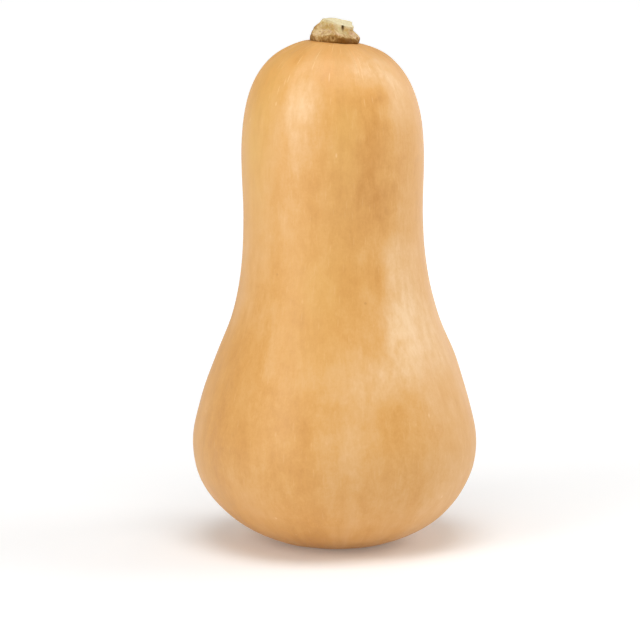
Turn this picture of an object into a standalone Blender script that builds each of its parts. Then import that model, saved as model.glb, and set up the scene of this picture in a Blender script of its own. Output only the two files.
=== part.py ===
"""A whole butternut squash that stands on its blossom end: the fruit, and the cut woody stem on its top.

Metres, +Z up. The origin is on the ground under the middle of the fruit, and -Y is its front.
"""

import math

import bpy
import numpy as np
from mathutils import Vector
from mathutils.geometry import interpolate_bezier

# Driving dimensions
BODY_HEIGHT = 0.2343  # from the ground to the seat of the stem
BULB_RADIUS = 0.0664  # at the widest part, round the seed end
FOOT_INNER = 0.0095  # the flat ring that the fruit stands on
FOOT_OUTER = 0.0195
SEAT_RADIUS = 0.0104  # the flat that the stem sits on
CROWN_SLOPE = 0.11  # how steeply the crown falls away from that flat
STEM_HEIGHT = 0.0092  # from the seat to the middle of the cut
STEM_RADIUS = 0.0115  # along its ridges, at its flared base
SEAT_GAP = 0.0003  # keeps the stem's solid clear of the fruit's

# The fruit's outline from the foot to the seat, as (share of the bulb's radius, share of the body's height)
BODY_OUTLINE = [
    (0.527, 0.017),
    (0.768, 0.060),
    (0.946, 0.128),
    (1.000, 0.201),
    (0.949, 0.282),
    (0.836, 0.376),
    (0.723, 0.461),
    (0.649, 0.555),
    (0.625, 0.649),
    (0.636, 0.751),
    (0.635, 0.800),
    (0.621, 0.846),
    (0.592, 0.885),
    (0.5456, 0.9192),
    (0.4843, 0.9474),
    (0.4117, 0.9691),
    (0.3345, 0.9841),
    (0.2482, 0.9944),
]

# The blossom scar in the middle of the foot, as (radius, height): a corky button in a shallow dimple
SCAR_OUTLINE = [(0.0, 0.0008), (0.0042, 0.0009), (0.0060, 0.0016), (0.0078, 0.0009)]

# The stem's side along a ridge, up to the rim of the cut, as (share of its radius, share of its height)
STEM_OUTLINE = [
    (0.880, 0.000),
    (0.965, 0.060),
    (1.000, 0.180),
    (0.990, 0.330),
    (0.930, 0.470),
    (0.850, 0.620),
    (0.760, 0.770),
    (0.680, 0.900),
    (0.640, 0.965),
]
# The cut itself, as (share of the radius, share of the height): a rounded rim and a sunken pith
STEM_CUT = [(0.605, 1.000), (0.320, 0.985), (0.180, 0.930), (0.0, 0.915)]
FLARE_WAY = (1, 0.3)  # the way that the side sets out at the base, and the way that it ends at the rim
RIM_WAY = (-0.3, 1)

# Growth lobes and a slight oval section
LOBES = 5
LOBE_DEPTH = 0.0004
LOBE_ANGLE = math.radians(-112)  # the crest of one lobe
OVAL_DEPTH = 0.0004
OVAL_ANGLE = math.radians(35)

# Creases that run out from the stem's seat and from the blossom end, each set deepest at a radius
CREASES = 10
CREASE_GROUPS = 3  # of deeper creases, round the fruit
CREASE_FADE = 0.6  # how much shallower the creases between them are, as a share
CROWN_CREASE_DEPTH = 0.0004
CROWN_CREASE_RADIUS = 0.0190
FOOT_CREASE_DEPTH = 0.0004
FOOT_CREASE_RADIUS = 0.0270
CREASE_LENGTH = 0.0065

# Where this relief fades in and out, as metres from and to
LOBE_GROWTH = (0.045, 0.062)  # radii: the lobes are twice as deep on the bulb
SEAT_FADE = (SEAT_RADIUS, 0.030)  # radii: the stem's seat has no lobes
GROUND_FADE = (0.001, 0.030)  # heights: nor has the flat ring of the foot
CROWN_CREASE_RISE = (0.15, 0.20)  # heights
FOOT_CREASE_RISE = (0.0, 0.002)
FOOT_CREASE_END = (0.03, 0.06)

# Hand-placed swellings and dents, as (angle in degrees, height, how far it stands out, width)
DENTS = [
    (2, 0.087, 0.0007, 0.010),
    (110, 0.062, -0.0015, 0.032),
    (-74, 0.148, -0.0004, 0.018),
    (-140, 0.205, -0.0004, 0.016),
    (-30, 0.196, 0.0003, 0.014),
    (60, 0.165, 0.0006, 0.022),
    (170, 0.110, -0.0006, 0.020),
    (-100, 0.040, 0.0005, 0.024),
]

# The neck leans a little, and the crown and the seat on it are tilted
LEAN_SIDE = -0.0014
LEAN_BACK = 0.0009
CROWN_TILT = 0.029
SEAT_TILT = 0.038
LEAN_SPAN = (0.060, 0.190)  # heights over which the neck leans
CROWN_TILT_SPAN = (0.150, 0.225)  # heights over which the tilt comes in
SEAT_TILT_SPAN = (SEAT_RADIUS, 0.028)  # radii over which the seat's own tilt ends

# Five ridges wind up the stem with hollows between them, and small lobes lie round its base
RIDGES = 5
RIDGE_ANGLE = math.radians(-100)  # of the ridge that faces the front, at the cut
RIDGE_TWIST = math.radians(38)  # how much further round it starts at the base
CREST_SHARPNESS = 1.3  # the power that narrows the ridges
HOLLOW_LEVEL = 0.54  # of the stem's height, where the hollows are deepest
HOLLOW_DEPTH = 0.25  # there, as a share of the stem's radius
HOLLOW_FADE = 0.13  # how much shallower it is at the cut
LOBE_SIZE = 0.025  # as a share of the stem's radius
LOBE_FADE = (0.15, 0.5)  # shares of the stem's height over which the lobes end
# Its swellings and hollows, as (angle, share of its height, size as a share of its radius, width, length),
# with the angle and the width in degrees and the length as a share of its height
SWELLINGS = [
    (-176, 0.45, 0.22, 30, 0.30),
    (170, 0.61, -0.09, 30, 0.26),
    (0, 0.76, -0.24, 30, 0.20),
    (4, 0.33, -0.075, 32, 0.21),
]

# The stem stands off the middle of the neck and leans, and its cut slopes, more steeply at the front right
STEM_SIDE = 0.0007
STEM_LEAN = 0.0021
CUT_SLOPE_SIDE = -0.11
CUT_SLOPE_BACK = 0.10
BEVEL_SLOPE = 0.25
BEVEL_START = 0.0020  # how far from the middle the steeper part starts

FRUIT_STEPS = 64
STEM_STEPS = 60
SPAN_STEPS = 3  # stretches between two knots of an outline
STEM_SPAN_STEPS = 2
MERGE = 0.00002

# Plain colours, as linear red, green and blue, and how rough each surface is
FRUIT_COLOUR = (0.80, 0.45, 0.17)
FRUIT_ROUGHNESS = 0.42
STEM_COLOUR = (0.56, 0.44, 0.26)
STEM_ROUGHNESS = 0.85


def smooth_step(value, low, high):
    """0 below low, 1 above high, and a smooth ramp between them."""
    t = np.clip((value - low) / (high - low), 0.0, 1.0)
    return t * t * (3 - 2 * t)


def smooth_outline(knots, start, end, steps):
    """Points on a smooth line through the knots, with a given direction at each end."""
    knots = [Vector(knot) for knot in knots]
    ways = [Vector(start)]
    ways += [(after - before).normalized() for before, after in zip(knots, knots[2:])]
    ways += [Vector(end)]
    points = []
    for i, (here, there) in enumerate(zip(knots, knots[1:])):
        reach = (there - here).length / 3
        span = interpolate_bezier(
            here, here + ways[i] * reach, there - ways[i + 1] * reach, there, steps + 1
        )
        points += span[:-1]
    return points + [knots[-1]]


def fruit_outline():
    """The fruit's turned outline as (radius, height), from the scar in its foot up to the seat's middle."""
    scar = smooth_outline(SCAR_OUTLINE + [(FOOT_INNER, 0.0)], (1, 0), (1, 0), SPAN_STEPS)
    body = [(r * BULB_RADIUS, z * BODY_HEIGHT) for r, z in BODY_OUTLINE]
    body = [(FOOT_OUTER, 0.0)] + body + [(SEAT_RADIUS, BODY_HEIGHT)]
    body = smooth_outline(body, (1, 0), (-1, CROWN_SLOPE), SPAN_STEPS)
    return scar + body + [Vector((0.0, BODY_HEIGHT))]


def stem_outline():
    """The stem's turned outline as (radius, height), from the underside's middle to the middle of the cut."""
    base = BODY_HEIGHT + SEAT_GAP
    side = [(r * STEM_RADIUS, base + z * STEM_HEIGHT) for r, z in STEM_OUTLINE]
    cut = [Vector((r * STEM_RADIUS, base + z * STEM_HEIGHT)) for r, z in STEM_CUT]
    return [Vector((0.0, base))] + smooth_outline(side, FLARE_WAY, RIM_WAY, STEM_SPAN_STEPS) + cut


def turned(name, outline, steps):
    """A mesh object made by turning an outline about Z, its points given from the bottom up."""
    line = bpy.data.meshes.new(name + "_outline")
    points = [(r, 0.0, z) for r, z in reversed(outline)]
    line.from_pydata(points, [(i, i + 1) for i in range(len(points) - 1)], [])
    guide = bpy.data.objects.new(name + "_outline", line)
    bpy.context.scene.collection.objects.link(guide)
    screw = guide.modifiers.new("turn", "SCREW")
    screw.steps = screw.render_steps = steps
    screw.use_merge_vertices = True
    screw.merge_threshold = MERGE
    screw.use_smooth_shade = True
    bpy.context.view_layer.update()
    graph = bpy.context.evaluated_depsgraph_get()
    mesh = bpy.data.meshes.new_from_object(guide.evaluated_get(graph))
    bpy.data.objects.remove(guide)
    mesh.name = name
    return bpy.data.objects.new(name, mesh)


def creases(angle, radius, deepest):
    """1 along the middle of the deepest creases, less along the others, and 0 away from them."""
    across = (0.5 + 0.5 * np.cos(CREASES * (angle - LOBE_ANGLE))) ** 2
    uneven = 1 - CREASE_FADE * (0.5 - 0.5 * np.cos(CREASE_GROUPS * (angle - LOBE_ANGLE)))
    return uneven * across * np.exp(-(((radius - deepest) / CREASE_LENGTH) ** 2))


def relief(angle, height, radius):
    """How far the skin stands out from the turned outline, along its normal."""
    off_seat = smooth_step(radius, *SEAT_FADE)
    lobes = LOBE_DEPTH * np.cos(LOBES * (angle - LOBE_ANGLE)) * (1 + smooth_step(radius, *LOBE_GROWTH))
    oval = OVAL_DEPTH * np.cos(2 * (angle - OVAL_ANGLE))
    out = (lobes + oval) * off_seat
    for degrees, level, depth, width in DENTS:
        turn = np.angle(np.exp(1j * (angle - math.radians(degrees))))
        away = (turn * radius) ** 2 + (height - level) ** 2
        out = out + depth * np.exp(-away / width**2)
    out = out * smooth_step(height, *GROUND_FADE)
    crown = creases(angle, radius, CROWN_CREASE_RADIUS) * smooth_step(height, *CROWN_CREASE_RISE)
    crown = crown * smooth_step(radius, SEAT_RADIUS, CROWN_CREASE_RADIUS)
    foot = creases(angle, radius, FOOT_CREASE_RADIUS) * smooth_step(height, *FOOT_CREASE_RISE)
    foot = foot * (1 - smooth_step(height, *FOOT_CREASE_END))
    return out - CROWN_CREASE_DEPTH * crown - FOOT_CREASE_DEPTH * foot


def girth(angle, share):
    """The stem's radius at a share of its height, as a share of its radius along a ridge."""
    turn = angle - RIDGE_ANGLE - RIDGE_TWIST * (1 - share)
    crest = ((1 + np.cos(RIDGES * turn)) / 2) ** CREST_SHARPNESS
    hollow = HOLLOW_DEPTH * smooth_step(share, 0.0, HOLLOW_LEVEL)
    hollow = hollow - HOLLOW_FADE * smooth_step(share, HOLLOW_LEVEL, 1.0)
    lobe = LOBE_SIZE * np.cos(2 * RIDGES * turn) * (1 - smooth_step(share, *LOBE_FADE))
    grown = 1 - hollow * (1 - crest) + lobe
    for degrees, level, size, width, length in SWELLINGS:
        aside = np.angle(np.exp(1j * (angle - math.radians(degrees)))) / math.radians(width)
        grown = grown + size * np.exp(-(aside**2) - ((share - level) / length) ** 2)
    return grown


def cut_rise(x, y):
    """How far the stem's cut lies above its mean height."""
    bevel = np.maximum((x - y) * math.sqrt(0.5) - BEVEL_START, 0.0)
    return CUT_SLOPE_SIDE * x + CUT_SLOPE_BACK * y - BEVEL_SLOPE * bevel


def settled(x, y, z):
    """A point of the upright shape, moved to where the leaning neck and the tilted crown carry it."""
    lean = smooth_step(z, *LEAN_SPAN)
    crown = smooth_step(z, *CROWN_TILT_SPAN)
    seat = 1 - smooth_step(np.hypot(x, y), *SEAT_TILT_SPAN)
    tilt = (CROWN_TILT + SEAT_TILT * seat) * crown
    x = x + LEAN_SIDE * lean
    return x, y + LEAN_BACK * lean, z - tilt * x


def points_of(mesh, attribute):
    values = np.empty(len(mesh.vertices) * 3, np.float32)
    mesh.vertices.foreach_get(attribute, values)
    return values.reshape(-1, 3).astype(float).T


def move_points(mesh, x, y, z):
    mesh.vertices.foreach_set("co", np.stack([x, y, z], axis=1).ravel().astype(np.float32))
    mesh.update()


def make_fruit():
    fruit = turned("fruit", fruit_outline(), FRUIT_STEPS)
    x, y, z = points_of(fruit.data, "co")
    nx, ny, nz = points_of(fruit.data, "normal")
    out = relief(np.arctan2(y, x), z, np.hypot(x, y))
    move_points(fruit.data, *settled(x + nx * out, y + ny * out, z + nz * out))
    return fruit


def make_stem():
    stem = turned("stem", stem_outline(), STEM_STEPS)
    x, y, z = points_of(stem.data, "co")
    share = (z - BODY_HEIGHT - SEAT_GAP) / STEM_HEIGHT
    grow = girth(np.arctan2(y, x), share)
    x = x * grow
    y = y * grow
    z = z + share * cut_rise(x, y)
    x = x + STEM_SIDE + STEM_LEAN * share
    move_points(stem.data, *settled(x, y, z))
    return stem


def paint(obj, colour, roughness):
    material = bpy.data.materials.new(obj.name)
    material.use_nodes = True
    shader = material.node_tree.nodes["Principled BSDF"]
    shader.inputs["Base Color"].default_value = (*colour, 1.0)
    shader.inputs["Roughness"].default_value = roughness
    shader.inputs["Metallic"].default_value = 0.0
    obj.data.materials.clear()
    obj.data.materials.append(material)


def main():
    for obj in list(bpy.data.objects):
        bpy.data.objects.remove(obj)
    squash = bpy.data.collections.new("butternut_squash")
    bpy.context.scene.collection.children.link(squash)
    fruit = make_fruit()
    stem = make_stem()
    paint(fruit, FRUIT_COLOUR, FRUIT_ROUGHNESS)
    paint(stem, STEM_COLOUR, STEM_ROUGHNESS)
    for obj in (fruit, stem):
        squash.objects.link(obj)


main()
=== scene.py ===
"""The looks of a whole butternut squash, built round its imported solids.

It makes the skin, the cut stem and the studio, in metres, +Z up, in the solids' own frame. Both pieces
repeat the solids' shapes on a finer mesh and add small relief of their own. Mesh attributes tell their
materials where the skin and the bark change.
"""

import math

import bpy
import numpy as np
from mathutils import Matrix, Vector
from mathutils.geometry import interpolate_bezier


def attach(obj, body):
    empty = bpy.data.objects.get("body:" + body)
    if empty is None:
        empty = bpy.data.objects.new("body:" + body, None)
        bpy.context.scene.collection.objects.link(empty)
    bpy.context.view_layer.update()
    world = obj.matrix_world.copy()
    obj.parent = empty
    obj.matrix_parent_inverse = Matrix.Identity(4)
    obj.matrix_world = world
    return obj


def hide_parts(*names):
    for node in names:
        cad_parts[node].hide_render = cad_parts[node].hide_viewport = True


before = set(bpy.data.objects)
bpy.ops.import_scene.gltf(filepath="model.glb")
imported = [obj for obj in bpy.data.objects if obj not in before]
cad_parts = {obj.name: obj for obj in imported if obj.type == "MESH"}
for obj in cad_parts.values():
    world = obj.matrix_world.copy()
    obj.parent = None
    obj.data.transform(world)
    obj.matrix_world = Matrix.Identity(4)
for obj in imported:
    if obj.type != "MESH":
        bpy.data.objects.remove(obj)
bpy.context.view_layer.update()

# The solids' own dimensions
BODY_HEIGHT = 0.2343  # from the ground to the seat of the stem
BULB_RADIUS = 0.0664  # at the widest part, round the seed end
FOOT_INNER = 0.0095  # the flat ring that the fruit stands on
FOOT_OUTER = 0.0195
SEAT_RADIUS = 0.0104  # the flat that the stem sits on
CROWN_SLOPE = 0.11  # how steeply the crown falls away from that flat
STEM_HEIGHT = 0.0092  # from the seat to the middle of the cut
STEM_RADIUS = 0.0115  # along its ridges, at its flared base
SEAT_GAP = 0.0003  # keeps the stem's solid clear of the fruit's

# The fruit's outline from the foot to the seat, as shares of the bulb's radius and of the body's height
BODY_OUTLINE = [
    (0.527, 0.017),
    (0.768, 0.060),
    (0.946, 0.128),
    (1.000, 0.201),
    (0.949, 0.282),
    (0.836, 0.376),
    (0.723, 0.461),
    (0.649, 0.555),
    (0.625, 0.649),
    (0.636, 0.751),
    (0.635, 0.800),
    (0.621, 0.846),
    (0.592, 0.885),
    (0.5456, 0.9192),
    (0.4843, 0.9474),
    (0.4117, 0.9691),
    (0.3345, 0.9841),
    (0.2482, 0.9944),
]

# The blossom scar in the middle of the foot, as (radius, height): a corky button in a shallow dimple
SCAR_OUTLINE = [(0.0, 0.0008), (0.0042, 0.0009), (0.0060, 0.0016), (0.0078, 0.0009)]

# The stem's side along a ridge, up to the rim of the cut, as (share of its radius, share of its height)
STEM_OUTLINE = [
    (0.880, 0.000),
    (0.965, 0.060),
    (1.000, 0.180),
    (0.990, 0.330),
    (0.930, 0.470),
    (0.850, 0.620),
    (0.760, 0.770),
    (0.680, 0.900),
    (0.640, 0.965),
]
# The cut itself, as (share of the radius, share of the height): a rounded rim and a sunken pith
STEM_CUT = [(0.605, 1.000), (0.320, 0.985), (0.180, 0.930), (0.0, 0.915)]
FLARE_WAY = (1, 0.3)  # the way that the side sets out in at the base
RIM_WAY = (-0.3, 1)  # and the way that it ends in at the rim

# Growth lobes and a slight oval section
LOBES = 5
LOBE_DEPTH = 0.0004
LOBE_ANGLE = math.radians(-112)  # the crest of one lobe
OVAL_DEPTH = 0.0004
OVAL_ANGLE = math.radians(35)

# Creases that run out from the stem's seat and from the blossom end, each set deepest at a radius
CREASES = 10
CREASE_GROUPS = 3  # of deeper creases, round the fruit
CREASE_FADE = 0.6  # how much shallower the creases between them are, as a share
CROWN_CREASE_DEPTH = 0.0004
CROWN_CREASE_RADIUS = 0.0190
FOOT_CREASE_DEPTH = 0.0004
FOOT_CREASE_RADIUS = 0.0270
CREASE_LENGTH = 0.0065

# Where this relief fades in and out, as metres from and to
LOBE_GROWTH = (0.045, 0.062)  # radii: the lobes are twice as deep on the bulb
SEAT_FADE = (SEAT_RADIUS, 0.030)  # radii: the stem's seat has no lobes
GROUND_FADE = (0.001, 0.030)  # heights: nor has the flat ring of the foot
CROWN_CREASE_RISE = (0.15, 0.20)  # heights
FOOT_CREASE_RISE = (0.0, 0.002)  # heights
FOOT_CREASE_END = (0.03, 0.06)  # heights

# Swellings and dents, as (angle in degrees, height, how far it stands out, width)
DENTS = [
    (2, 0.087, 0.0007, 0.010),
    (110, 0.062, -0.0015, 0.032),
    (-74, 0.148, -0.0004, 0.018),
    (-140, 0.205, -0.0004, 0.016),
    (-30, 0.196, 0.0003, 0.014),
    (60, 0.165, 0.0006, 0.022),
    (170, 0.110, -0.0006, 0.020),
    (-100, 0.040, 0.0005, 0.024),
]

# The neck leans a little, and the crown and the seat on it are tilted
LEAN_SIDE = -0.0014
LEAN_BACK = 0.0009
CROWN_TILT = 0.029
SEAT_TILT = 0.038
LEAN_SPAN = (0.060, 0.190)  # heights over which the neck leans
CROWN_TILT_SPAN = (0.150, 0.225)  # heights over which the tilt comes in
SEAT_TILT_SPAN = (SEAT_RADIUS, 0.028)  # radii over which the seat's own tilt ends

# Five ridges wind up the stem with hollows between them, and small lobes lie round its base
RIDGES = 5
RIDGE_ANGLE = math.radians(-100)  # of the ridge that faces the front, at the cut
RIDGE_TWIST = math.radians(38)  # how much further round it starts at the base
CREST_SHARPNESS = 1.3  # the power that narrows the ridges
HOLLOW_LEVEL = 0.54  # of the stem's height, where the hollows are deepest
HOLLOW_DEPTH = 0.25  # there, as a share of the stem's radius
HOLLOW_FADE = 0.13  # how much shallower it is at the cut
LOBE_SIZE = 0.025  # as a share of the stem's radius
LOBE_FADE = (0.15, 0.5)  # shares of the stem's height over which the lobes end
# Its swellings and hollows, as (angle, share of its height, size as a share of its radius, width, length),
# with the angle and the width in degrees and the length as a share of its height
SWELLINGS = [
    (-176, 0.45, 0.22, 30, 0.30),
    (170, 0.61, -0.09, 30, 0.26),
    (0, 0.76, -0.24, 30, 0.20),
    (4, 0.33, -0.075, 32, 0.21),
]

# The stem stands off the middle of the neck and leans, and its cut slopes, more steeply at the front right
STEM_SIDE = 0.0007
STEM_LEAN = 0.0021
CUT_SLOPE_SIDE = -0.11
CUT_SLOPE_BACK = 0.10
BEVEL_SLOPE = 0.25
BEVEL_START = 0.0020  # how far from the middle the steeper part starts

# The skin's small relief, as (depth, size across) in metres
SKIN_SWELLS = (0.00012, 0.018)
SKIN_RIPPLES = (0.00004, 0.006)
SKIN_STRETCH = 2  # how much longer than wide both are
SKIN_SEAT_FADE = (SEAT_RADIUS, 0.022)  # radii over which it comes in, out from the stem's seat
SKIN_GROUND_FADE = (0.001, 0.020)  # heights over which it comes in, up from the foot
# Faint ribs down the fruit, as (how many, phase, drift with the height)
RIBS = [(6, 0.4, 3.0), (9, 2.1, -4.0), (14, 4.4, 6.0), (23, 1.3, -8.0)]
RIB_DEPTH = 0.00007

# The stem's small relief, in the same way
BARK_LUMPS = (0.00020, 0.0022)
BARK_GRAIN = (0.00007, 0.0008)
BARK_FIBRES = (0.00006, 0.0005)
FIBRE_STRETCH = 6
CUT_RELIEF = 0.5  # how strong this relief is on the cut, as a share
# Rounded knobs and pits, as (angle in degrees, share of its height, how far it stands out, width)
KNOBS = [
    (-155, 0.22, 0.0003, 0.0024),
    (-122, 0.30, 0.0004, 0.0020),
    (-135, 0.70, -0.0004, 0.0020),
    (-86, 0.16, 0.0004, 0.0018),
    (-80, 0.43, 0.0005, 0.0017),
    (-58, 0.26, 0.0004, 0.0018),
    (-50, 0.55, 0.0006, 0.0022),
    (180, 0.20, -0.0006, 0.0022),
    (-34, 0.24, 0.0005, 0.0020),
    (-168, 0.90, 0.0007, 0.0022),
    (178, 0.54, 0.0004, 0.0020),
    (80, 0.25, 0.0005, 0.0020),
    (150, 0.28, 0.0004, 0.0022),
]
PIT_DEPTH = 0.0003  # of a pit whose floor is at its darkest
STEM_ROOT = 0.0008  # how far the stem's foot reaches down into the skin it grew from
STEM_ROOT_SHARE = 0.22  # of the stem's height, that this stretches
CUT_EDGE = (0.590, 0.622)  # shares of the stem's radius over which the cut gives way to the bark
BARK_START = (0.0, 0.06)  # shares of its height over which the bark starts, above its underside
LEAST_RADIUS = 0.0005  # keeps the relief, as a share of the radius, small at the stem's axis

# Paler and deeper patches of the skin, as (angle in degrees, height, strength, width, length). The pale
# ones at the front left of the neck, at -107 degrees, and at the front right high on the neck and low on the
# flare, at -56 to -30 degrees, are partly painted highlights; the rest are the skin's own tone.
TONE_AND_HIGHLIGHT_PATCHES = [
    (-62, 0.198, -0.4, 0.0050, 0.0120),
    (-64, 0.180, -0.3, 0.0090, 0.0300),
    (-66, 0.222, 0.9, 0.0060, 0.0080),
    (-56, 0.097, 0.6, 0.0110, 0.0200),
    (-74, 0.163, -0.4, 0.0100, 0.0260),
    (-63, 0.129, -0.7, 0.0048, 0.0090),
    (-48, 0.116, 0.6, 0.0115, 0.0260),
    (-30, 0.100, 0.4, 0.0140, 0.0240),
    (-125, 0.2290, -0.7, 0.0050, 0.0050),
    (-150, 0.200, -0.4, 0.0080, 0.0300),
    (-143, 0.200, 0.5, 0.0012, 0.0060),
    (-107, 0.206, 0.95, 0.0090, 0.0200),
    (-52, 0.220, 0.4, 0.0070, 0.0100),
    (-62, 0.212, -0.5, 0.0080, 0.0070),
    (-55, 0.165, -0.7, 0.0080, 0.0160),
    (-80, 0.205, -0.4, 0.0140, 0.0180),
    (-38, 0.213, 0.4, 0.0080, 0.0070),
    (-40, 0.221, 0.7, 0.0100, 0.0090),
    (-96, 0.221, -0.35, 0.0070, 0.0050),
    (-80, 0.136, -0.35, 0.0100, 0.0220),
    (-52, 0.214, -0.3, 0.0100, 0.0045),
    (-60, 0.2055, 0.22, 0.0080, 0.0040),
    (-72, 0.087, 0.5, 0.0100, 0.0120),
]
# More golden patches, and the pale spot where the fruit lay on the soil, in the same way
GOLDEN_PATCHES = [
    (-150, 0.195, 0.9, 0.0120, 0.0380),
    (-84, 0.188, 0.5, 0.0080, 0.0260),
    (-98, 0.120, 0.4, 0.0160, 0.0300),
    (60, 0.150, 0.6, 0.0200, 0.0400),
    (150, 0.070, 0.6, 0.0240, 0.0300),
]
GROUND_SPOT = [(110, 0.062, 1.0, 0.0340, 0.0400)]
# Browner and paler places of the stem, its pink places, and the dark split under the rim of its cut, whose
# darkness is partly its own olive-brown and partly painted shade. Their heights and lengths are shares of the
# stem's height
STAINS = [
    (-172, 0.64, 1.00, 0.0046, 0.32),
    (-92, 0.39, 0.32, 0.0044, 0.10),
    (-86, 0.10, 0.40, 0.0016, 0.06),
    (-73, 0.26, 0.45, 0.0022, 0.10),
    (-52, 0.27, 0.60, 0.0022, 0.10),
    (-38, 0.24, 0.45, 0.0018, 0.08),
    (-22, 0.42, -0.50, 0.0030, 0.18),
    (-134, 0.32, -0.30, 0.0034, 0.12),
    (-138, 0.04, -0.30, 0.0050, 0.10),
]
PINK_PLACES = [
    (-31, 0.62, 0.85, 0.0022, 0.14),
    (-88, 0.52, 0.60, 0.0016, 0.09),
    (-18, 0.34, 0.50, 0.0020, 0.10),
    (-160, 0.36, 0.50, 0.0016, 0.08),
]
SPLIT = [(-74, 0.875, 1.0, 0.00100, 0.15)]
SPLIT_DEPTH = 0.0016

# The edges of other places on the skin, as metres from and to
SEAT_RING = (0.0105, 0.0130)  # radii over which the brown line and painted shade round the stem's foot end
SCAR_EDGE = (0.0085, 0.0115)  # radii over which the blossom scar ends
BLUSH_RISE = (0.200, BODY_HEIGHT)  # heights over which the skin turns more orange

# The stem's bleached crests, as (degrees round from the front ridge, width in radians)
BLEACHED = [(-14, 0.30), (76, 0.40)]
BLEACH_LEAST = 0.2  # how bleached the other crests are
BLEACH_RISE = 0.55  # and how much more these are

# The brown of the stem's foot
BROWN_START = 0.86
BROWN_REACH = 0.5  # of the stem's height, over which it falls by 1
BROWN_SHIFT = 0.32  # how much more of it there is at one side
BROWN_ANGLE = math.radians(-66)  # of that side

# Mesh detail
FRUIT_STEPS = 384
FRUIT_SPAN_STEPS = 11  # stretches between two knots of an outline
SCAR_SPAN_STEPS = 5
STEM_STEPS = 288
STEM_SPAN_STEPS = 12
MERGE = 0.00001  # points on the axis that lie closer than this become one

# Random relief is a sum of waves, each field with its own seed
WAVES = 28
WAVE_SPREAD = (0.6, 1.2)  # how close together they lie, as shares of what the field's size asks for
SWELLS_SEED = 11
RIPPLES_SEED = 12
LUMPS_SEED = 21
GRAIN_SEED = 22
FIBRES_SEED = 23

# The photograph's view: where its camera stands, what it looks at, and how far it zooms in
EYE = Vector((0.0, -1.5, 0.335))
AIM = Vector((-0.0076, 0.0, 0.1044))
SENSOR = 36.0
LENS = 182.7

# The studio. Softboxes are (name, bearing and elevation in degrees, (width, height), radiance)
LIGHT_AIM = Vector((0.0, 0.0, 0.12))
LIGHT_DISTANCE = 1.5
SOFTBOXES = [
    ("key", -46, 22, (0.62, 1.15), 3.5),
    ("fill", 98, 24, (0.8, 0.9), 3.1),
    ("overhead", 5, 72, (1.0, 1.0), 4.5),
    ("rim", 145, 18, (0.5, 1.1), 1.1),
]
SKY_RAMP = (0.05, 0.14, 1.0, 0.29)  # by the sine of the elevation: from, to, strength below, above
FLOOR_GLOW = (-0.60, 1.90, 0.0, 0.72)  # by the distance from the object in metres: from, to, glow near, far
FLOOR_RADIUS = 12.0
FLOOR_SIDES = 96
FLOOR_ROUGHNESS = 0.7
WHITE = (1.0, 1.0, 1.0, 1.0)
OFF_WHITE = (0.9, 0.9, 0.9, 1.0)


def colour(red, green, blue):
    """A display colour of 0 to 255 a channel as the linear colour that a shader takes."""
    shares = [channel / 255 for channel in (red, green, blue)]
    return tuple(s / 12.92 if s <= 0.04045 else ((s + 0.055) / 1.055) ** 2.4 for s in shares) + (1.0,)


# Colours of the skin and of the stem, as they look in plain white light; the pale skin, the seat's brown and
# the split's dark colour are also used for painted highlights and painted shade
SKIN_DEEP = colour(192, 132, 58)
SKIN_TAN = colour(212, 157, 85)
# Pale skin, which the listed patches also use for painted highlights
SKIN_PALE_AND_HIGHLIGHT = colour(232, 196, 150)
SKIN_ORANGE = colour(222, 155, 74)
SKIN_GOLDEN = colour(216, 172, 96)
SKIN_GROUND = colour(240, 204, 144)
SKIN_FLECK = colour(240, 208, 160)
SKIN_SPOT = colour(168, 112, 58)
# The brown line round the stem's foot, deepened as painted shade where the stem meets the skin
SEAT_BROWN_AND_SHADE = colour(150, 98, 40)
SCAR_DARK = colour(112, 88, 62)
SCAR_PALE = colour(176, 148, 108)
STEM_OCHRE = colour(184, 146, 84)
STEM_OLIVE = colour(178, 156, 92)
STEM_CREAM = colour(216, 204, 164)
STEM_BEIGE = colour(212, 186, 138)
STEM_MAUVE = colour(196, 166, 150)
STEM_PINK = colour(214, 178, 146)
STEM_STAIN = colour(152, 118, 58)
STEM_RUST = colour(162, 120, 56)
STEM_BROWN = colour(118, 75, 12)
CUT_STRAW = colour(212, 197, 152)
CUT_PALE = colour(226, 216, 182)
CUT_TAN = colour(200, 176, 128)
# The split's inside: its own olive-brown, darkened further as painted shade
SPLIT_BROWN_AND_SHADE = colour(108, 82, 40)

# Roughness of each surface, how much the scar adds to it, and how deep the finest relief is, in metres
SKIN_ROUGHNESS = 0.46
SCAR_ROUGHNESS = 0.4
SKIN_BUMP = 0.00014
STEM_ROUGHNESS = 0.78
STEM_SPECULAR = 0.3  # a dry stem mirrors less than the usual 0.5
STEM_BUMP = 0.00025


def smooth_step(value, low, high):
    """0 below low, 1 above high, and a smooth ramp between them."""
    t = np.clip((value - low) / (high - low), 0.0, 1.0)
    return t * t * (3 - 2 * t)


def turn_from(angle, degrees):
    """The angle from a direction in degrees, as -pi to pi."""
    return np.angle(np.exp(1j * (angle - math.radians(degrees))))


def smooth_outline(knots, start, end, steps):
    """Points on a smooth line through the knots, with a given direction at each end."""
    knots = [Vector(knot) for knot in knots]
    ways = [Vector(start)]
    ways += [(after - before).normalized() for before, after in zip(knots, knots[2:])]
    ways += [Vector(end)]
    points = []
    for i, (here, there) in enumerate(zip(knots, knots[1:])):
        reach = (there - here).length / 3
        span = interpolate_bezier(
            here, here + ways[i] * reach, there - ways[i + 1] * reach, there, steps + 1
        )
        points += span[:-1]
    return points + [knots[-1]]


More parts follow.
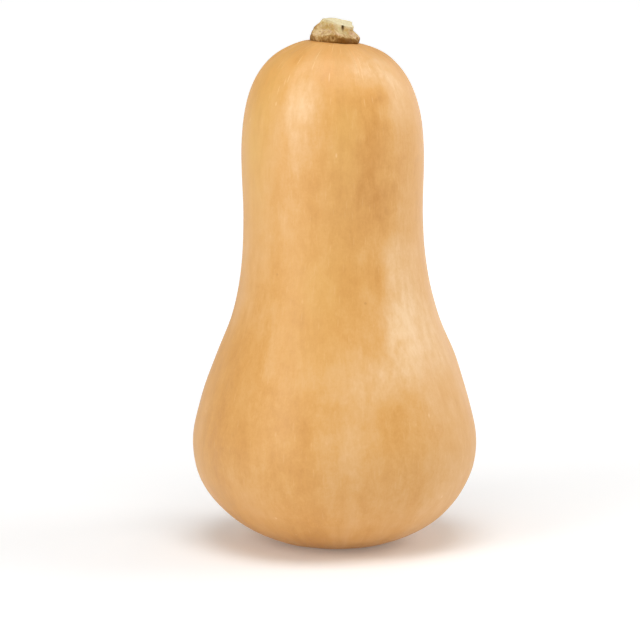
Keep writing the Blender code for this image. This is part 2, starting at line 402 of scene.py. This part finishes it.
def fruit_outline():
    """The fruit's turned outline as (radius, height), from the scar in its foot up to the seat's middle."""
    scar = smooth_outline(SCAR_OUTLINE + [(FOOT_INNER, 0.0)], (1, 0), (1, 0), SCAR_SPAN_STEPS)
    body = [(r * BULB_RADIUS, z * BODY_HEIGHT) for r, z in BODY_OUTLINE]
    body = [(FOOT_OUTER, 0.0)] + body + [(SEAT_RADIUS, BODY_HEIGHT)]
    body = smooth_outline(body, (1, 0), (-1, CROWN_SLOPE), FRUIT_SPAN_STEPS)
    return scar + body + [Vector((0.0, BODY_HEIGHT))]


def stem_outline():
    """The stem's turned outline as (radius, height), from the underside's middle to the middle of the cut."""
    base = BODY_HEIGHT + SEAT_GAP
    side = [(r * STEM_RADIUS, base + z * STEM_HEIGHT) for r, z in STEM_OUTLINE]
    rim = [Vector((r * STEM_RADIUS, base + z * STEM_HEIGHT)) for r, z in STEM_CUT]
    cut = smooth_outline([side[-1]] + rim, RIM_WAY, (-1, 0), STEM_SPAN_STEPS)
    side = smooth_outline(side, FLARE_WAY, RIM_WAY, STEM_SPAN_STEPS)
    return [Vector((0.0, base))] + side[:-1] + cut


def turned(name, outline, steps):
    """A mesh object made by turning an outline about Z, its points given from the bottom up."""
    line = bpy.data.meshes.new(name + "_outline")
    points = [(r, 0.0, z) for r, z in reversed(outline)]
    line.from_pydata(points, [(i, i + 1) for i in range(len(points) - 1)], [])
    guide = bpy.data.objects.new(name + "_outline", line)
    bpy.context.scene.collection.objects.link(guide)
    screw = guide.modifiers.new("turn", "SCREW")
    screw.steps = screw.render_steps = steps
    screw.use_merge_vertices = True
    screw.merge_threshold = MERGE
    screw.use_smooth_shade = True
    bpy.context.view_layer.update()
    graph = bpy.context.evaluated_depsgraph_get()
    mesh = bpy.data.meshes.new_from_object(guide.evaluated_get(graph))
    bpy.data.objects.remove(guide)
    mesh.name = name
    made = bpy.data.objects.new(name, mesh)
    bpy.context.scene.collection.objects.link(made)
    return made


def creases(angle, radius, deepest):
    """1 along the middle of the deepest creases, less along the others, and 0 away from them."""
    across = (0.5 + 0.5 * np.cos(CREASES * (angle - LOBE_ANGLE))) ** 2
    uneven = 1 - CREASE_FADE * (0.5 - 0.5 * np.cos(CREASE_GROUPS * (angle - LOBE_ANGLE)))
    return uneven * across * np.exp(-(((radius - deepest) / CREASE_LENGTH) ** 2))


def relief(angle, height, radius):
    """How far the skin stands out from the turned outline, along its normal."""
    off_seat = smooth_step(radius, *SEAT_FADE)
    lobes = LOBE_DEPTH * np.cos(LOBES * (angle - LOBE_ANGLE)) * (1 + smooth_step(radius, *LOBE_GROWTH))
    oval = OVAL_DEPTH * np.cos(2 * (angle - OVAL_ANGLE))
    out = (lobes + oval) * off_seat
    for degrees, level, depth, width in DENTS:
        away = (turn_from(angle, degrees) * radius) ** 2 + (height - level) ** 2
        out = out + depth * np.exp(-away / width**2)
    out = out * smooth_step(height, *GROUND_FADE)
    crown = creases(angle, radius, CROWN_CREASE_RADIUS) * smooth_step(height, *CROWN_CREASE_RISE)
    crown = crown * smooth_step(radius, SEAT_RADIUS, CROWN_CREASE_RADIUS)
    foot = creases(angle, radius, FOOT_CREASE_RADIUS) * smooth_step(height, *FOOT_CREASE_RISE)
    foot = foot * (1 - smooth_step(height, *FOOT_CREASE_END))
    return out - CROWN_CREASE_DEPTH * crown - FOOT_CREASE_DEPTH * foot


def ridge_turn(angle, share):
    """The angle round from the stem's front ridge, which winds as it rises."""
    return angle - RIDGE_ANGLE - RIDGE_TWIST * (1 - share)


def girth(angle, share):
    """The stem's radius at a share of its height, as a share of its radius along a ridge."""
    turn = ridge_turn(angle, share)
    crest = ((1 + np.cos(RIDGES * turn)) / 2) ** CREST_SHARPNESS
    hollow = HOLLOW_DEPTH * smooth_step(share, 0.0, HOLLOW_LEVEL)
    hollow = hollow - HOLLOW_FADE * smooth_step(share, HOLLOW_LEVEL, 1.0)
    lobe = LOBE_SIZE * np.cos(2 * RIDGES * turn) * (1 - smooth_step(share, *LOBE_FADE))
    grown = 1 - hollow * (1 - crest) + lobe
    for degrees, level, size, width, length in SWELLINGS:
        aside = turn_from(angle, degrees) / math.radians(width)
        grown = grown + size * np.exp(-(aside**2) - ((share - level) / length) ** 2)
    return grown


def cut_rise(x, y):
    """How far the stem's cut lies above its mean height."""
    bevel = np.maximum((x - y) * math.sqrt(0.5) - BEVEL_START, 0.0)
    return CUT_SLOPE_SIDE * x + CUT_SLOPE_BACK * y - BEVEL_SLOPE * bevel


def settled(x, y, z):
    """A point of the upright shape, moved to where the leaning neck and the tilted crown carry it."""
    lean = smooth_step(z, *LEAN_SPAN)
    crown = smooth_step(z, *CROWN_TILT_SPAN)
    seat = 1 - smooth_step(np.hypot(x, y), *SEAT_TILT_SPAN)
    tilt = (CROWN_TILT + SEAT_TILT * seat) * crown
    x = x + LEAN_SIDE * lean
    return x, y + LEAN_BACK * lean, z - tilt * x


def points_of(mesh, attribute):
    """The x, y and z of an attribute of the mesh's points, each as an array."""
    values = np.empty(len(mesh.vertices) * 3, np.float32)
    mesh.vertices.foreach_get(attribute, values)
    return values.reshape(-1, 3).astype(float).T


def move_points(mesh, x, y, z):
    """Moves the mesh's points to these places."""
    mesh.vertices.foreach_set("co", np.stack([x, y, z], axis=1).ravel().astype(np.float32))
    mesh.update()


def keep_values(mesh, **named):
    """Stores one number for each point under each name, for the material to read."""
    for name, values in named.items():
        mesh.attributes.new(name, "FLOAT", "POINT").data.foreach_set("value", values.astype(np.float32))


def waves(x, y, z, depth, size, seed):
    """A smooth random field of about -depth to depth, whose hills are about size across."""
    draw = np.random.default_rng(seed)
    total = np.zeros_like(x)
    for _ in range(WAVES):
        way = draw.normal(size=3)
        way *= math.pi / size * draw.uniform(*WAVE_SPREAD) / np.linalg.norm(way)
        total += np.cos(x * way[0] + y * way[1] + z * way[2] + draw.uniform(0, math.tau))
    return depth * total * math.sqrt(1 / WAVES)


def ribs(angle, height):
    """Faint ribs down the fruit, of uneven widths."""
    total = np.zeros_like(angle)
    for count, phase, drift in RIBS:
        total += np.cos(count * angle + phase + drift * height) / 2
    return RIB_DEPTH * total


def painted(places, angle, radius, height):
    """The sum of soft places, each given by its angle, height, strength, width and length."""
    total = np.zeros_like(height)
    for degrees, level, strength, width, length in places:
        across = turn_from(angle, degrees) * radius
        total += strength * np.exp(-((across / width) ** 2) - ((height - level) / length) ** 2)
    return total


def knobs_at(angle, radius, share):
    """How far the placed knobs and pits stand out from the stem's side."""
    total = np.zeros_like(radius)
    for degrees, level, out, width in KNOBS:
        away = (turn_from(angle, degrees) * radius) ** 2 + ((share - level) * STEM_HEIGHT) ** 2
        total += out * np.exp(-away / width**2)
    return total


def make_fruit():
    """The fruit's skin from its scar to the stem's seat, with the places where its colour changes."""
    fruit = turned("fruit_skin", fruit_outline(), FRUIT_STEPS)
    x, y, z = points_of(fruit.data, "co")
    nx, ny, nz = points_of(fruit.data, "normal")
    angle = np.arctan2(y, x)
    radius = np.hypot(x, y)
    clear = smooth_step(radius, *SKIN_SEAT_FADE) * smooth_step(z, *SKIN_GROUND_FADE)
    fine = waves(x, y, z / SKIN_STRETCH, *SKIN_SWELLS, SWELLS_SEED)
    fine = fine + waves(x, y, z / SKIN_STRETCH, *SKIN_RIPPLES, RIPPLES_SEED) + ribs(angle, z)
    out = relief(angle, z, radius) + fine * clear
    move_points(fruit.data, *settled(x + nx * out, y + ny * out, z + nz * out))
    top = z > BODY_HEIGHT / 2
    keep_values(
        fruit.data,
        # the skin's paler and deeper patches, some of them painted highlights
        tone=painted(TONE_AND_HIGHLIGHT_PATCHES, angle, radius, z),
        golden=painted(GOLDEN_PATCHES, angle, radius, z),
        ground=painted(GROUND_SPOT, angle, radius, z),
        # the brown line round the stem's foot, partly painted shade
        seat=(1 - smooth_step(radius, *SEAT_RING)) * top,
        scar=(1 - smooth_step(radius, *SCAR_EDGE)) * ~top,
        crown=smooth_step(z, *BLUSH_RISE),
    )
    return fruit


def make_stem():
    """The cut stem, whose foot reaches into the skin, with the places where its bark changes."""
    stem = turned("stem_wood", stem_outline(), STEM_STEPS)
    x, y, z = points_of(stem.data, "co")
    share = (z - BODY_HEIGHT - SEAT_GAP) / STEM_HEIGHT
    angle = np.arctan2(y, x)
    radius = np.hypot(x, y)
    cut = (1 - smooth_step(radius / STEM_RADIUS, *CUT_EDGE)) * (share > 0.5)
    bark = (1 - cut) * smooth_step(share, *BARK_START)
    lumps = waves(x, y, z, *BARK_LUMPS, LUMPS_SEED) + waves(x, y, z, *BARK_GRAIN, GRAIN_SEED)
    fibres = waves(x, y, z / FIBRE_STRETCH, *BARK_FIBRES, FIBRES_SEED)
    knobs = knobs_at(angle, radius, share)
    split = painted(SPLIT, angle, radius, share) * (1 - cut)
    grown = girth(angle, share)
    out = (lumps + fibres + knobs) * bark - SPLIT_DEPTH * split
    grow = grown + out / np.maximum(radius, LEAST_RADIUS)
    x, y = x * grow, y * grow
    z = z + share * cut_rise(x, y) + cut * CUT_RELIEF * (lumps + fibres)
    x = x + STEM_SIDE + STEM_LEAN * share
    z = z - STEM_ROOT * (1 - smooth_step(share, 0.0, STEM_ROOT_SHARE))
    move_points(stem.data, *settled(x, y, z))

    turn = ridge_turn(angle, share)
    bleached = sum(np.exp(-((turn_from(turn, degrees) / width) ** 2)) for degrees, width in BLEACHED)
    brown = BROWN_START - share / BROWN_REACH + BROWN_SHIFT * np.cos(angle - BROWN_ANGLE)
    keep_values(
        stem.data,
        share=share,
        cut=cut,
        split=split,
        hollow=np.clip((1 - grown) / HOLLOW_DEPTH, 0, 1) * bark,
        pit=np.clip(-(lumps + knobs) / PIT_DEPTH, 0, 1) * bark,
        base=brown + painted(STAINS, angle, radius, share),
        pink=painted(PINK_PLACES, angle, radius, share),
        bleached=BLEACH_LEAST + BLEACH_RISE * bleached,
    )
    return stem


class Graph:
    """A material's nodes. Each call adds one and gives its output."""

    def __init__(self, name):
        self.material = bpy.data.materials.new(name)
        self.material.use_nodes = True
        self.nodes = self.material.node_tree.nodes
        self.links = self.material.node_tree.links
        self.shader = self.nodes["Principled BSDF"]

    def set(self, socket, value):
        if isinstance(value, bpy.types.NodeSocket):
            self.links.new(value, socket)
        else:
            socket.default_value = value

    def surface(self, sockets):
        """Sets the shader's sockets by their names, and gives the material."""
        for name, value in sockets.items():
            self.set(self.shader.inputs[name], value)
        return self.material

    def node(self, kind, inputs, **settings):
        made = self.nodes.new("ShaderNode" + kind)
        for name, value in settings.items():
            setattr(made, name, value)
        for key, value in inputs.items():
            self.set(made.inputs[key], value)
        return made

    def place(self):
        return self.node("TexCoord", {}).outputs["Object"]

    def math(self, operation, a, b=0.0, c=0.0):
        return self.node("Math", {0: a, 1: b, 2: c}, operation=operation).outputs[0]

    def times(self, a, b):
        return self.math("MULTIPLY", a, b)

    def noise(self, place, scale, detail=3.0, rough=0.6, distortion=0.0):
        inputs = {"Vector": place, "Scale": scale, "Detail": detail, "Roughness": rough}
        return self.node("TexNoise", inputs | {"Distortion": distortion}).outputs["Fac"]

    def ramp(self, value, low, high, start=0.0, end=1.0):
        """value from low to high becomes start to end, smoothly."""
        inputs = {"Value": value, "From Min": low, "From Max": high, "To Min": start, "To Max": end}
        return self.node("MapRange", inputs, interpolation_type="SMOOTHSTEP").outputs[0]

    def split(self, vector):
        return self.node("SeparateXYZ", {0: vector}).outputs

    def join(self, x, y, z):
        return self.node("CombineXYZ", {0: x, 1: y, 2: z}).outputs[0]

    def stretched(self, x, y, z, scale):
        """A place with its height scaled: the smaller the scale, the longer the pattern at that place."""
        return self.join(x, y, self.times(z, scale))

    def total(self, start, fields, **weights):
        """start, plus each named field's distance from its middle of 0.5 times its weight."""
        value = start - sum(weights.values()) / 2
        for name, weight in weights.items():
            value = self.math("MULTIPLY_ADD", fields[name], weight, value)
        return value

    def spots(self, place, scale, size, sparse, softness=0.04):
        """Round spots in a share of 1 - sparse of the cells, and 0 between them."""
        cells = self.node("TexVoronoi", {"Vector": place, "Scale": scale, "Randomness": 1.0})
        chosen = self.ramp(self.split(cells.outputs["Color"])[0], sparse, sparse + softness)
        return self.times(chosen, self.ramp(cells.outputs["Distance"], size, size * 2, 1.0, 0.0))

    def mix(self, share, a, b):
        made = self.node("Mix", {0: share, 6: a, 7: b}, data_type="RGBA")
        return made.outputs[2]

    def attribute(self, name):
        return self.node("Attribute", {}, attribute_name=name).outputs["Fac"]

    def bump(self, height, depth):
        return self.node("Bump", {"Height": height, "Distance": depth, "Strength": 1.0}).outputs[0]


def skin_fields(g):
    """The skin's random fields. The first five are placed by direction, so they wrap round the fruit."""
    place = g.place()
    x, y, z = g.split(place)
    out = g.node("VectorMath", {0: g.join(x, y, 0.0)}, operation="NORMALIZE").outputs[0]
    cos, sin, _ = g.split(out)
    return {
        "broad": g.noise(g.stretched(cos, sin, z, 2.5), scale=1.7, detail=2.0, rough=0.5),
        "streaks": g.noise(g.stretched(cos, sin, z, 6.0), scale=7.0, distortion=0.6),
        "lines": g.noise(g.stretched(cos, sin, z, 6.0), scale=30.0, distortion=0.5),
        "threads": g.noise(g.stretched(cos, sin, z, 4.0), scale=110.0),
        "hairs": g.spots(g.stretched(cos, sin, z, 3.0), scale=60.0, size=0.24, sparse=0.88),
        "brushed": g.noise(g.stretched(x, y, z, 0.3), scale=260.0),
        "flecks": g.spots(g.stretched(x, y, z, 0.45), scale=330.0, size=0.11, sparse=0.95),
        "spots": g.spots(place, scale=150.0, size=0.06, sparse=0.95),
        "clouds": g.noise(place, scale=24.0, rough=0.55),
        "mottle": g.noise(place, scale=130.0, detail=4.0, rough=0.7),
        "grain": g.noise(place, scale=900.0),
        "cork": g.noise(place, scale=600.0, detail=4.0, rough=0.7),
    }


def plain_skin(g, fields):
    """The skin's colour: deep to pale tan, golden in patches, more orange near the stem, and paler in painted
    highlights.
    """
    lengthwise = {"broad": 0.5, "streaks": 0.38, "lines": 0.16, "threads": 0.14}
    tone = g.total(0.5, fields, **lengthwise, clouds=0.55, mottle=0.38, grain=0.18)
    patchy = g.ramp(fields["brushed"], 0.3, 0.7, 0.24, 0.44)
    # The listed patches: the skin's own paler and deeper places, and painted highlights
    tone = g.math("MULTIPLY_ADD", g.attribute("tone"), patchy, tone)
    skin = g.mix(g.ramp(tone, 0.05, 0.55), SKIN_DEEP, SKIN_TAN)
    skin = g.mix(g.ramp(tone, 0.40, 1.15), skin, SKIN_PALE_AND_HIGHLIGHT)
    golden = g.times(g.attribute("golden"), g.ramp(fields["clouds"], 0.3, 0.7, 0.3, 0.9))
    skin = g.mix(golden, skin, SKIN_GOLDEN)
    blush = g.times(g.attribute("crown"), g.ramp(fields["streaks"], 0.35, 0.65, 0.05, 0.38))
    return g.mix(blush, skin, SKIN_ORANGE)


def marked_skin(g, fields, skin):
    """The skin with its ground spot, pale hairlines down from the stem, pale flecks and brown spots."""
    ground = g.times(g.attribute("ground"), g.ramp(fields["clouds"], 0.2, 0.8, 0.6, 1.2))
    ground = g.math("ADD", ground, g.ramp(fields["mottle"], 0.3, 0.7, -0.09, 0.09))
    skin = g.mix(g.ramp(ground, 0.12, 1.15, 0.0, 0.62), skin, SKIN_GROUND)
    hairs = g.times(fields["hairs"], g.ramp(g.attribute("crown"), 0.0, 0.5, 0.08, 0.42))
    skin = g.mix(hairs, skin, SKIN_FLECK)
    skin = g.mix(g.times(fields["flecks"], 0.40), skin, SKIN_FLECK)
    return g.mix(g.times(fields["spots"], 0.3), skin, SKIN_SPOT)


def rind():
    """The waxy skin, with a brown line round the stem's foot that is partly painted shade, and a corky
    blossom scar underneath.
    """
    g = Graph("rind")
    fields = skin_fields(g)
    skin = marked_skin(g, fields, plain_skin(g, fields))
    # Browner round the stem's foot: the skin's own brown line, deepened as painted shade where the stem meets
    # it
    seat = g.times(g.attribute("seat"), g.ramp(fields["mottle"], 0.3, 0.7, 0.35, 0.75))
    skin = g.mix(seat, skin, SEAT_BROWN_AND_SHADE)
    cork = g.mix(g.ramp(fields["cork"], 0.35, 0.65), SCAR_DARK, SCAR_PALE)
    scar = g.math("ADD", g.attribute("scar"), g.ramp(fields["mottle"], 0.3, 0.7, -0.2, 0.2))
    scar = g.ramp(scar, 0.35, 0.6)
    skin = g.mix(scar, skin, cork)
    roughness = g.total(SKIN_ROUGHNESS, fields, lines=0.18, mottle=0.22, grain=0.10, broad=0.10)
    roughness = g.math("MULTIPLY_ADD", scar, SCAR_ROUGHNESS, roughness)
    height = g.total(0.0, fields, lines=0.5, threads=0.3, mottle=0.8, grain=0.25)
    height = g.math("MULTIPLY_ADD", fields["flecks"], 0.15, height)
    normal = g.bump(height, SKIN_BUMP)
    return g.surface({"Base Color": skin, "Roughness": roughness, "Normal": normal})


def stem_fields(g):
    """The stem's random fields, from patches a few millimetres across down to its grain."""
    place = g.place()
    x, y, z = g.split(place)
    return {
        "patches": g.noise(place, scale=230.0),
        "stains": g.noise(place, scale=420.0),
        "runs": g.noise(g.stretched(x, y, z, 0.35), scale=620.0, rough=0.65),
        "mottle": g.noise(place, scale=700.0, detail=4.0, rough=0.65),
        "specks": g.noise(place, scale=850.0, detail=2.0, rough=0.55),
        "fibres": g.noise(g.stretched(x, y, z, 0.15), scale=1500.0),
        "grain": g.noise(place, scale=2600.0),
    }


def plain_bark(g, fields):
    """The bark's own colour: ochre, bleached along its ridges, beige lower down and mauve in blotches."""
    share = g.attribute("share")
    bark = g.mix(g.ramp(fields["patches"], 0.36, 0.64), STEM_OCHRE, STEM_OLIVE)
    ridge = g.math("SUBTRACT", 1.0, g.attribute("hollow"))
    crest = g.times(g.ramp(ridge, 0.55, 1.0), g.ramp(share, 0.25, 0.7, 0.25, 1.0))
    bleach = g.times(crest, g.attribute("bleached"))
    bleach = g.math("MAXIMUM", bleach, g.ramp(share, 0.84, 0.97, 0.0, 0.6))
    bark = g.mix(bleach, bark, STEM_CREAM)
    low = g.times(g.ramp(share, 0.38, 0.66, 1.0, 0.0), g.ramp(fields["patches"], 0.3, 0.6, 0.6, 1.0))
    bark = g.mix(low, bark, STEM_BEIGE)
    mauve = g.times(g.ramp(fields["mottle"], 0.47, 0.60), g.ramp(share, 0.30, 0.85, 0.6, 0.25))
    bark = g.mix(mauve, bark, STEM_MAUVE)
    stain = g.times(g.ramp(fields["stains"], 0.52, 0.68), g.ramp(bleach, 0.15, 0.5, 0.55, 0.15))
    return g.mix(stain, bark, STEM_STAIN)


def marked_bark(g, fields, bark):
    """The bark with its specks and pink places, darker in its pits, and with the ragged brown of its foot."""
    bark = g.mix(g.ramp(fields["specks"], 0.52, 0.70, 0.0, 0.4), bark, STEM_CREAM)
    bark = g.mix(g.ramp(fields["specks"], 0.28, 0.46, 0.36, 0.0), bark, STEM_STAIN)
    pink = g.times(g.attribute("pink"), g.ramp(fields["mottle"], 0.3, 0.7, 0.6, 1.0))
    bark = g.mix(pink, bark, STEM_PINK)
    # Darker and browner the deeper the bark sinks into a pit
    deep = g.math("ADD", g.attribute("pit"), g.ramp(fields["mottle"], 0.3, 0.7, -0.15, 0.15))
    bark = g.mix(g.ramp(deep, 0.45, 1.0, 0.0, 0.5), bark, STEM_RUST)
    ragged = {"runs": g.ramp(fields["runs"], 0.3, 0.7), "mottle": g.ramp(fields["mottle"], 0.35, 0.65)}
    foot = g.math("ADD", g.attribute("base"), g.total(0.0, ragged, runs=0.42, mottle=0.4))
    bark = g.mix(g.ramp(foot, 0.04, 0.5, 0.0, 0.88), bark, STEM_RUST)
    return g.mix(g.ramp(foot, 0.42, 0.95, 0.0, 0.95), bark, STEM_BROWN)


def stalk():
    """The dry stem: its bark, and a pale fibrous cut with a split under its rim, darkened partly as painted
    shade.
    """
    g = Graph("stalk")
    fields = stem_fields(g)
    bark = marked_bark(g, fields, plain_bark(g, fields))
    cut = g.mix(g.ramp(fields["grain"], 0.35, 0.65), CUT_STRAW, CUT_PALE)
    cut = g.mix(g.ramp(fields["mottle"], 0.5, 0.72, 0.0, 0.5), cut, CUT_TAN)
    stem = g.mix(g.ramp(g.attribute("cut"), 0.3, 0.7), bark, cut)
    # The split is dark partly with its own olive-brown and partly with painted shade
    stem = g.mix(g.ramp(g.attribute("split"), 0.12, 0.85), stem, SPLIT_BROWN_AND_SHADE)
    roughness = g.total(STEM_ROUGHNESS, fields, mottle=0.25, grain=0.15)
    height = g.total(0.0, fields, mottle=0.6, fibres=0.5, grain=0.25)
    normal = g.bump(height, STEM_BUMP)
    g.set(g.shader.inputs["Specular IOR Level"], STEM_SPECULAR)
    return g.surface({"Base Color": stem, "Roughness": roughness, "Normal": normal})


def make_floor():
    """A white table, glowing more the further it is from the object."""
    bpy.ops.mesh.primitive_circle_add(vertices=FLOOR_SIDES, radius=FLOOR_RADIUS, fill_type="NGON")
    floor = bpy.context.object
    floor.name = "floor"
    g = Graph("floor")
    away = g.node("VectorMath", {0: g.place()}, operation="LENGTH").outputs["Value"]
    glow = {"Emission Color": WHITE, "Emission Strength": g.ramp(away, *FLOOR_GLOW)}
    floor.data.materials.append(g.surface(glow | {"Base Color": OFF_WHITE, "Roughness": FLOOR_ROUGHNESS}))


def softbox(name, bearing, elevation, size, radiance):
    """A soft light aimed at the fruit's middle. Its bearing is in degrees from the front to the right."""
    turn = math.radians(bearing)
    rise = math.radians(elevation)
    way = Vector((math.sin(turn) * math.cos(rise), -math.cos(turn) * math.cos(rise), math.sin(rise)))
    light = bpy.data.lights.new(name, "AREA")
    light.shape = "RECTANGLE"
    light.size, light.size_y = size
    light.energy = radiance * math.pi * size[0] * size[1]
    box = bpy.data.objects.new(name, light)
    box.location = LIGHT_AIM + way * LIGHT_DISTANCE
    box.rotation_euler = (-way).to_track_quat("-Z", "Y").to_euler()
    box.visible_camera = False
    bpy.context.scene.collection.objects.link(box)


def light_studio():
    """A white sky, brighter near and below the horizon, and the softboxes."""
    world = bpy.data.worlds.new("studio")
    bpy.context.scene.world = world
    world.use_nodes = True
    nodes = world.node_tree.nodes
    links = world.node_tree.links
    way = nodes.new("ShaderNodeTexCoord")
    parts = nodes.new("ShaderNodeSeparateXYZ")
    level = nodes.new("ShaderNodeMapRange")
    level.interpolation_type = "SMOOTHSTEP"
    for socket, value in zip(list(level.inputs)[1:5], SKY_RAMP):
        socket.default_value = value
    links.new(way.outputs["Generated"], parts.inputs[0])
    links.new(parts.outputs["Z"], level.inputs["Value"])
    links.new(level.outputs[0], nodes["Background"].inputs["Strength"])
    nodes["Background"].inputs["Color"].default_value = WHITE
    for light in SOFTBOXES:
        softbox(*light)


def place_camera():
    """A camera that sees what the photograph's saw."""
    camera = bpy.data.cameras.new("camera")
    camera.sensor_width = SENSOR
    camera.lens = LENS
    eye = bpy.data.objects.new("camera", camera)
    eye.location = EYE
    eye.rotation_euler = (AIM - EYE).to_track_quat("-Z", "Y").to_euler()
    bpy.context.scene.collection.objects.link(eye)
    bpy.context.scene.camera = eye


def main():
    bpy.context.scene.view_settings.view_transform = "Standard"
    place_camera()
    light_studio()
    make_floor()
    fruit = make_fruit()
    fruit.data.materials.append(rind())
    stem = make_stem()
    stem.data.materials.append(stalk())
    for piece, node, slot in ((fruit, "fruit", "rind"), (stem, "stem", "stalk")):
        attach(piece, "root")
        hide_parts(node)


main()
